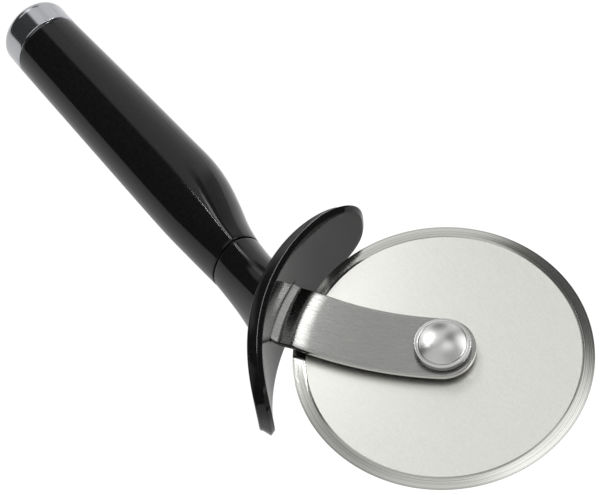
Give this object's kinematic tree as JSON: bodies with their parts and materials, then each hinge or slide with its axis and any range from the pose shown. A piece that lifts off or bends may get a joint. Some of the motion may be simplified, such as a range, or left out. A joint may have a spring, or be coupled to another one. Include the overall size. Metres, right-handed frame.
{
  "type": "pastry cutter wheel",
  "caption": "Hand-held rotary dough cutter: a freely turning plain steel disc on a bent steel arm, with a curved finger guard and an oval black grip with a chrome end cap.",
  "frame": {"origin": "centre of the base of the box around the tool as it lies on its side", "axes": "+X along the handle from the end cap to the disc, +Z along the axle towards the arm's side, +Y in the disc's plane towards the upper end of the guard"},
  "size_m": [0.2258, 0.101, 0.0386],
  "materials": {
    "gloss_black": "glossy moulded black plastic",
    "core_grey": "matt moulded dark grey plastic, hidden",
    "chrome": "mirror chrome plating",
    "zinc_steel": "zinc plated steel, hidden",
    "brushed_steel": "stainless steel, brushed along its length",
    "polished_steel": "polished stainless steel",
    "bearing_plastic": "natural low-friction plastic",
    "satin_steel": "stainless steel, fine satin with a ground edge"
  },
  "bodies": {
    "handle": {"handle_grip": "gloss_black", "finger_guard": "gloss_black", "handle_core": "core_grey", "end_cap_plug": "core_grey", "end_cap": "chrome", "end_cap_screw": "zinc_steel", "tang_pin_front": "zinc_steel", "tang_pin_rear": "zinc_steel", "blade_arm": "brushed_steel", "axle_pin": "polished_steel", "axle_dome_cap": "polished_steel", "dome_washer": "polished_steel", "rear_washer": "polished_steel", "arm_spacer": "bearing_plastic"},
    "blade": {"blade_disc": "satin_steel", "hub_bush": "bearing_plastic"}
  },
  "joints": [
    {"name": "blade_spin", "type": "hinge", "parent": "handle", "child": "blade", "pos_m": [0.06835, 0.00605, 0.0193], "axis": [0, 0, 1], "continuous": true}
  ]
}
